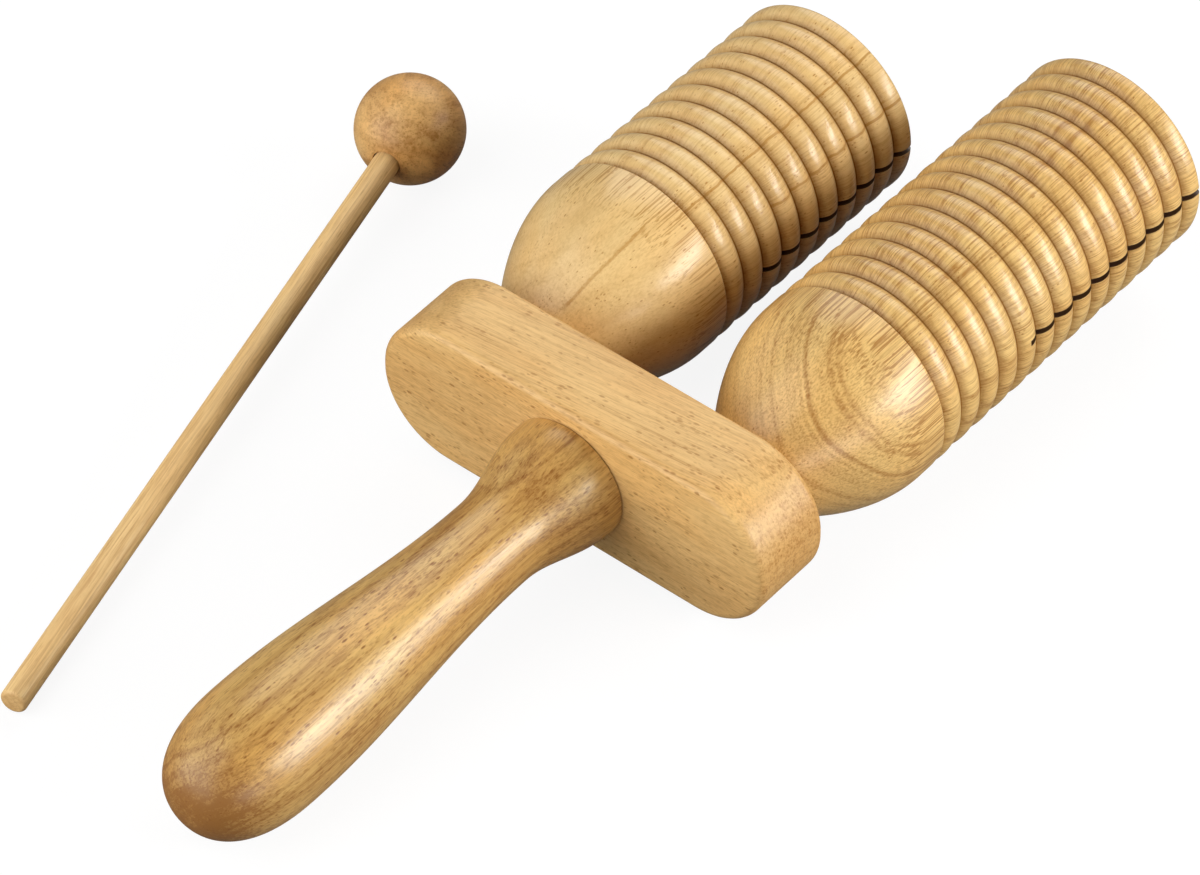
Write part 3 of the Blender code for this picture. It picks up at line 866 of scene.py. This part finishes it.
class AGOGO_OT_fixings(bpy.types.Operator):
    """Make the screws and washers that hold the tubes"""

    bl_idname = "agogo.fixings"
    bl_label = "Screws and washers"

    def execute(self, context):
        s = sizes()
        material = steel_finish()
        bore_floor = 0.5 * s.crossbar_thickness + s.seat_gap + s.nose_thickness
        hole_radius = s.screw_radius + s.seat_gap
        edge = 0.0002
        ring = [
            (0.0, hole_radius), (0.0, s.washer_radius - edge), (edge, s.washer_radius),
            (s.washer_thickness - edge, s.washer_radius), (s.washer_thickness, s.washer_radius - edge),
            (s.washer_thickness, hole_radius),
        ]
        for name, side in (("low", 1), ("high", -1)):
            washer_at = Vector((side * 0.5 * s.tube_spacing, bore_floor + s.seat_gap, 0.0))
            head_at = washer_at + Vector((0.0, s.washer_thickness + s.seat_gap, 0.0))
            washer = turned("washer_" + name + "_pressed", ring, 64, closed=True)
            smooth(washer)
            settle(washer, instrument_axes() @ Matrix.Translation(washer_at))
            stand_for(washer, "washer_" + name, instrument_body, material)
            screw = turned("screw_" + name + "_panhead", screw_profile(), 64)
            for turn in (20.0, 110.0):
                carve(screw, recess_blade(turn))
            smooth(screw)
            settle(screw, instrument_axes() @ Matrix.Translation(head_at))
            stand_for(screw, "screw_" + name, instrument_body, material)
        return {"FINISHED"}


def beater_axes():
    """Centre of the ball, with -Y down the stick to its free end on the table."""
    s = sizes()
    reach = s.stick_reach - s.stick_end_chamfer
    slope = math.asin(s.ball_radius / math.hypot(reach, s.stick_radius)) - math.atan2(s.stick_radius, reach)
    turn = Matrix.Rotation(s.beater_turn, 4, "Z") @ Matrix.Rotation(slope, 4, "X")
    return Matrix.Translation(box_centre("beater_ball")) @ turn


class AGOGO_OT_beater(bpy.types.Operator):
    """Turn the beater's ball and shape its stick"""

    bl_idname = "agogo.beater"
    bl_label = "Beater"

    def execute(self, context):
        s = sizes()
        f = finishes()
        hole_radius = s.stick_radius + s.seat_gap
        opening = math.degrees(math.asin(hole_radius / s.ball_radius))
        mouth = -math.sqrt(s.ball_radius ** 2 - hole_radius ** 2)
        ball_points = arc((0.0, 0.0), s.ball_radius, 0.0, 180.0 - opening, 64)
        ball_points[0] = (s.ball_radius, 0.0)
        bore_end = mouth + s.ball_bore_depth
        ball_points += [(bore_end, hole_radius), (bore_end, 0.0)]
        ball = turned("beater_ball_turned", ball_points, 96)
        smooth(ball)
        settle(ball, beater_axes())
        look = look_of(
            pith=(-0.030, -0.020), sway=0.004, spacing=0.0030, bands=0.14, broad=0.34, hairs=0.15, threads=0.10,
            specks=0.26, clouds=0.66, warmth=0.60, pores=0.60, pore_across=0.00052, pore_along=0.0020,
            pore_width=0.50, pore_share=0.42, end_grain=0.02, mottle=0.22, roughness=0.42, lacquer=0.26, sheen=0.34,
        )
        fibres = Vector((0.0, 1.0, 0.0)).rotation_difference(Vector((0.30, -0.71, 0.63))).to_matrix().to_4x4()
        grain = Matrix.Translation(beater_axes().to_translation()) @ fibres
        material = wood("ball_wood", grain, 0.17, f.ball_light, f.ball_dark, look)[0]
        stand_for(ball, "beater_ball", beater_body, material)
        inner_end = bore_end - s.seat_gap
        free_end = (-s.stick_reach + s.stick_end_chamfer, s.stick_radius - s.stick_end_chamfer)
        stick_points = [(inner_end, 0.0), (inner_end, s.stick_radius)]
        stick_points += arc(free_end, s.stick_end_chamfer, 90.0, 180.0, 8)
        stick_points.append((-s.stick_reach, 0.0))
        stick = turned("beater_stick_dowel", stick_points, 48)
        smooth(stick)
        settle(stick, beater_axes())
        look = look_of(
            pith=(0.010, -0.012), sway=0.0016, spacing=0.0016, bands=0.22, broad=0.30, hairs=0.26, specks=0.16,
            clouds=0.10, pores=0.60, pore_along=0.0050, pore_width=0.36, end_grain=0.45, roughness=0.46,
            lacquer=0.1,
        )
        material = wood("stick_wood", beater_axes(), 0.44, f.stick_light, f.stick_dark, look)[0]
        stand_for(stick, "beater_stick", beater_body, material)
        return {"FINISHED"}


def table_finish():
    """A white table: part of its brightness shows only to the camera, and the shadow stays."""
    material = bpy.data.materials.new("pale_table")
    material.use_nodes = True
    tree = material.node_tree
    tree.nodes.clear()
    surface = add(tree, "ShaderNodeBsdfDiffuse")
    feed(tree, surface, Color=(*finishes().floor, 1.0))
    path = add(tree, "ShaderNodeLightPath")
    seen = maths(tree, "MAXIMUM", path.outputs["Is Camera Ray"], path.outputs["Is Transmission Ray"])
    mirrored = maths(tree, "MULTIPLY", path.outputs["Is Glossy Ray"], 0.07)
    where = add(tree, "ShaderNodeTexCoord")
    off_middle = add(tree, "ShaderNodeVectorMath", operation="LENGTH")
    tree.links.new(where.outputs["Object"], off_middle.inputs[0])
    brightness = ramp(tree, off_middle.outputs["Value"], 0.45, 1.60, 0.90, 1.0)
    glow = add(tree, "ShaderNodeEmission")
    feed(tree, glow, Color=(1.0, 1.0, 1.0, 1.0), Strength=maths(tree, "MULTIPLY_ADD", seen, brightness, mirrored))
    both = add(tree, "ShaderNodeAddShader")
    tree.links.new(surface.outputs[0], both.inputs[0])
    tree.links.new(glow.outputs[0], both.inputs[1])
    output = add(tree, "ShaderNodeOutputMaterial")
    tree.links.new(both.outputs[0], output.inputs["Surface"])
    return material


def white_world():
    """White where the camera sees past the table, and a faint white in reflections, but no diffuse light on the set."""
    world = bpy.data.worlds.new("studio")
    bpy.context.scene.world = world
    world.use_nodes = True
    tree = world.node_tree
    tree.nodes.clear()
    path = add(tree, "ShaderNodeLightPath")
    seen = maths(tree, "MAXIMUM", path.outputs["Is Camera Ray"], path.outputs["Is Transmission Ray"])
    mirrored = maths(tree, "MULTIPLY", path.outputs["Is Glossy Ray"], 0.07)
    strength = maths(tree, "MAXIMUM", seen, mirrored)
    light = add(tree, "ShaderNodeBackground")
    feed(tree, light, Color=(1.0, 1.0, 1.0, 1.0), Strength=strength)
    output = add(tree, "ShaderNodeOutputWorld")
    tree.links.new(light.outputs[0], output.inputs["Surface"])


def soft_box(name, direction, distance, size, power):
    """A rectangular soft box that faces the middle of the set."""
    middle = Vector((0.0, 0.0, 0.03))
    place = middle + distance * Vector(direction).normalized()
    deselect_all()
    bpy.ops.object.light_add(type="AREA", location=place)
    lamp = bpy.context.object
    lamp.name = name
    lamp.data.shape = "RECTANGLE"
    lamp.data.size = size[0]
    lamp.data.size_y = size[1]
    lamp.data.energy = power
    lamp.rotation_euler = (middle - place).to_track_quat("-Z", "Y").to_euler()


class AGOGO_OT_stage(bpy.types.Operator):
    """Lay out the table, the light and the camera"""

    bl_idname = "agogo.stage"
    bl_label = "Stage"

    def execute(self, context):
        deselect_all()
        bpy.ops.mesh.primitive_plane_add(size=8.0, location=(0.0, 0.0, -0.0002))
        table = bpy.context.object
        table.name = "table"
        table.data.materials.append(table_finish())
        white_world()
        soft_box("key", (0.86, 0.40, 0.21), 1.2, (0.62, 0.44), 6.8)
        soft_box("strip", (0.807, 0.411, 0.423), 1.2, (1.20, 0.20), 7.8)
        soft_box("side", (0.92, -0.38, 0.10), 1.4, (0.90, 0.40), 4.4)
        soft_box("front", (-0.34, -0.91, 0.22), 1.4, (1.70, 0.90), 15.6)
        soft_box("front_top", (-0.30, -0.60, 0.75), 1.4, (1.30, 1.10), 8.4)
        soft_box("front_left", (-0.70, -0.70, 0.25), 1.4, (0.80, 0.70), 1.6)
        soft_box("back", (-0.27, 0.68, 0.62), 1.4, (1.40, 1.10), 9.6)
        soft_box("left", (-0.92, -0.10, 0.38), 1.2, (0.75, 0.60), 0.9)
        bpy.ops.object.camera_add(
            location=(0.76499, -0.96745, 1.18057),
            rotation=[math.radians(turn) for turn in (46.2857, -2.0711, 39.3042)],
        )
        camera = bpy.context.object
        camera.name = "camera"
        camera.data.lens = 230.14
        camera.data.sensor_width = 36.0
        camera.data.clip_start = 0.05
        context.scene.camera = camera
        context.scene.view_settings.view_transform = "Standard"
        return {"FINISHED"}


class AGOGO_PT_panel(bpy.types.Panel):
    """Sizes, finishes and building steps of the agogo"""

    bl_label = "Agogo"
    bl_idname = "AGOGO_PT_panel"
    bl_space_type = "VIEW_3D"
    bl_region_type = "UI"
    bl_category = "Agogo"

    def draw(self, context):
        layout = self.layout
        for step in building_steps:
            layout.operator(step.bl_idname)
        for group, title in ((context.scene.agogo_sizes, "Sizes"), (context.scene.agogo_finish, "Finish")):
            box = layout.box()
            box.label(text=title)
            for name in group.__annotations__:
                box.prop(group, name)


building_steps = (
    AGOGO_OT_crossbar,
    AGOGO_OT_handle,
    AGOGO_OT_tubes,
    AGOGO_OT_fixings,
    AGOGO_OT_beater,
    AGOGO_OT_stage,
)
classes = (AgogoSizes, AgogoFinish, *building_steps, AGOGO_PT_panel)


def register():
    for entry in classes:
        bpy.utils.register_class(entry)
    bpy.types.Scene.agogo_sizes = bpy.props.PointerProperty(type=AgogoSizes)
    bpy.types.Scene.agogo_finish = bpy.props.PointerProperty(type=AgogoFinish)


def unregister():
    del bpy.types.Scene.agogo_finish
    del bpy.types.Scene.agogo_sizes
    for entry in reversed(classes):
        bpy.utils.unregister_class(entry)


def main():
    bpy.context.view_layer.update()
    register()
    bpy.ops.agogo.crossbar()
    bpy.ops.agogo.handle()
    bpy.ops.agogo.tubes()
    bpy.ops.agogo.fixings()
    bpy.ops.agogo.beater()
    bpy.ops.agogo.stage()


if __name__ == "__main__":
    main()
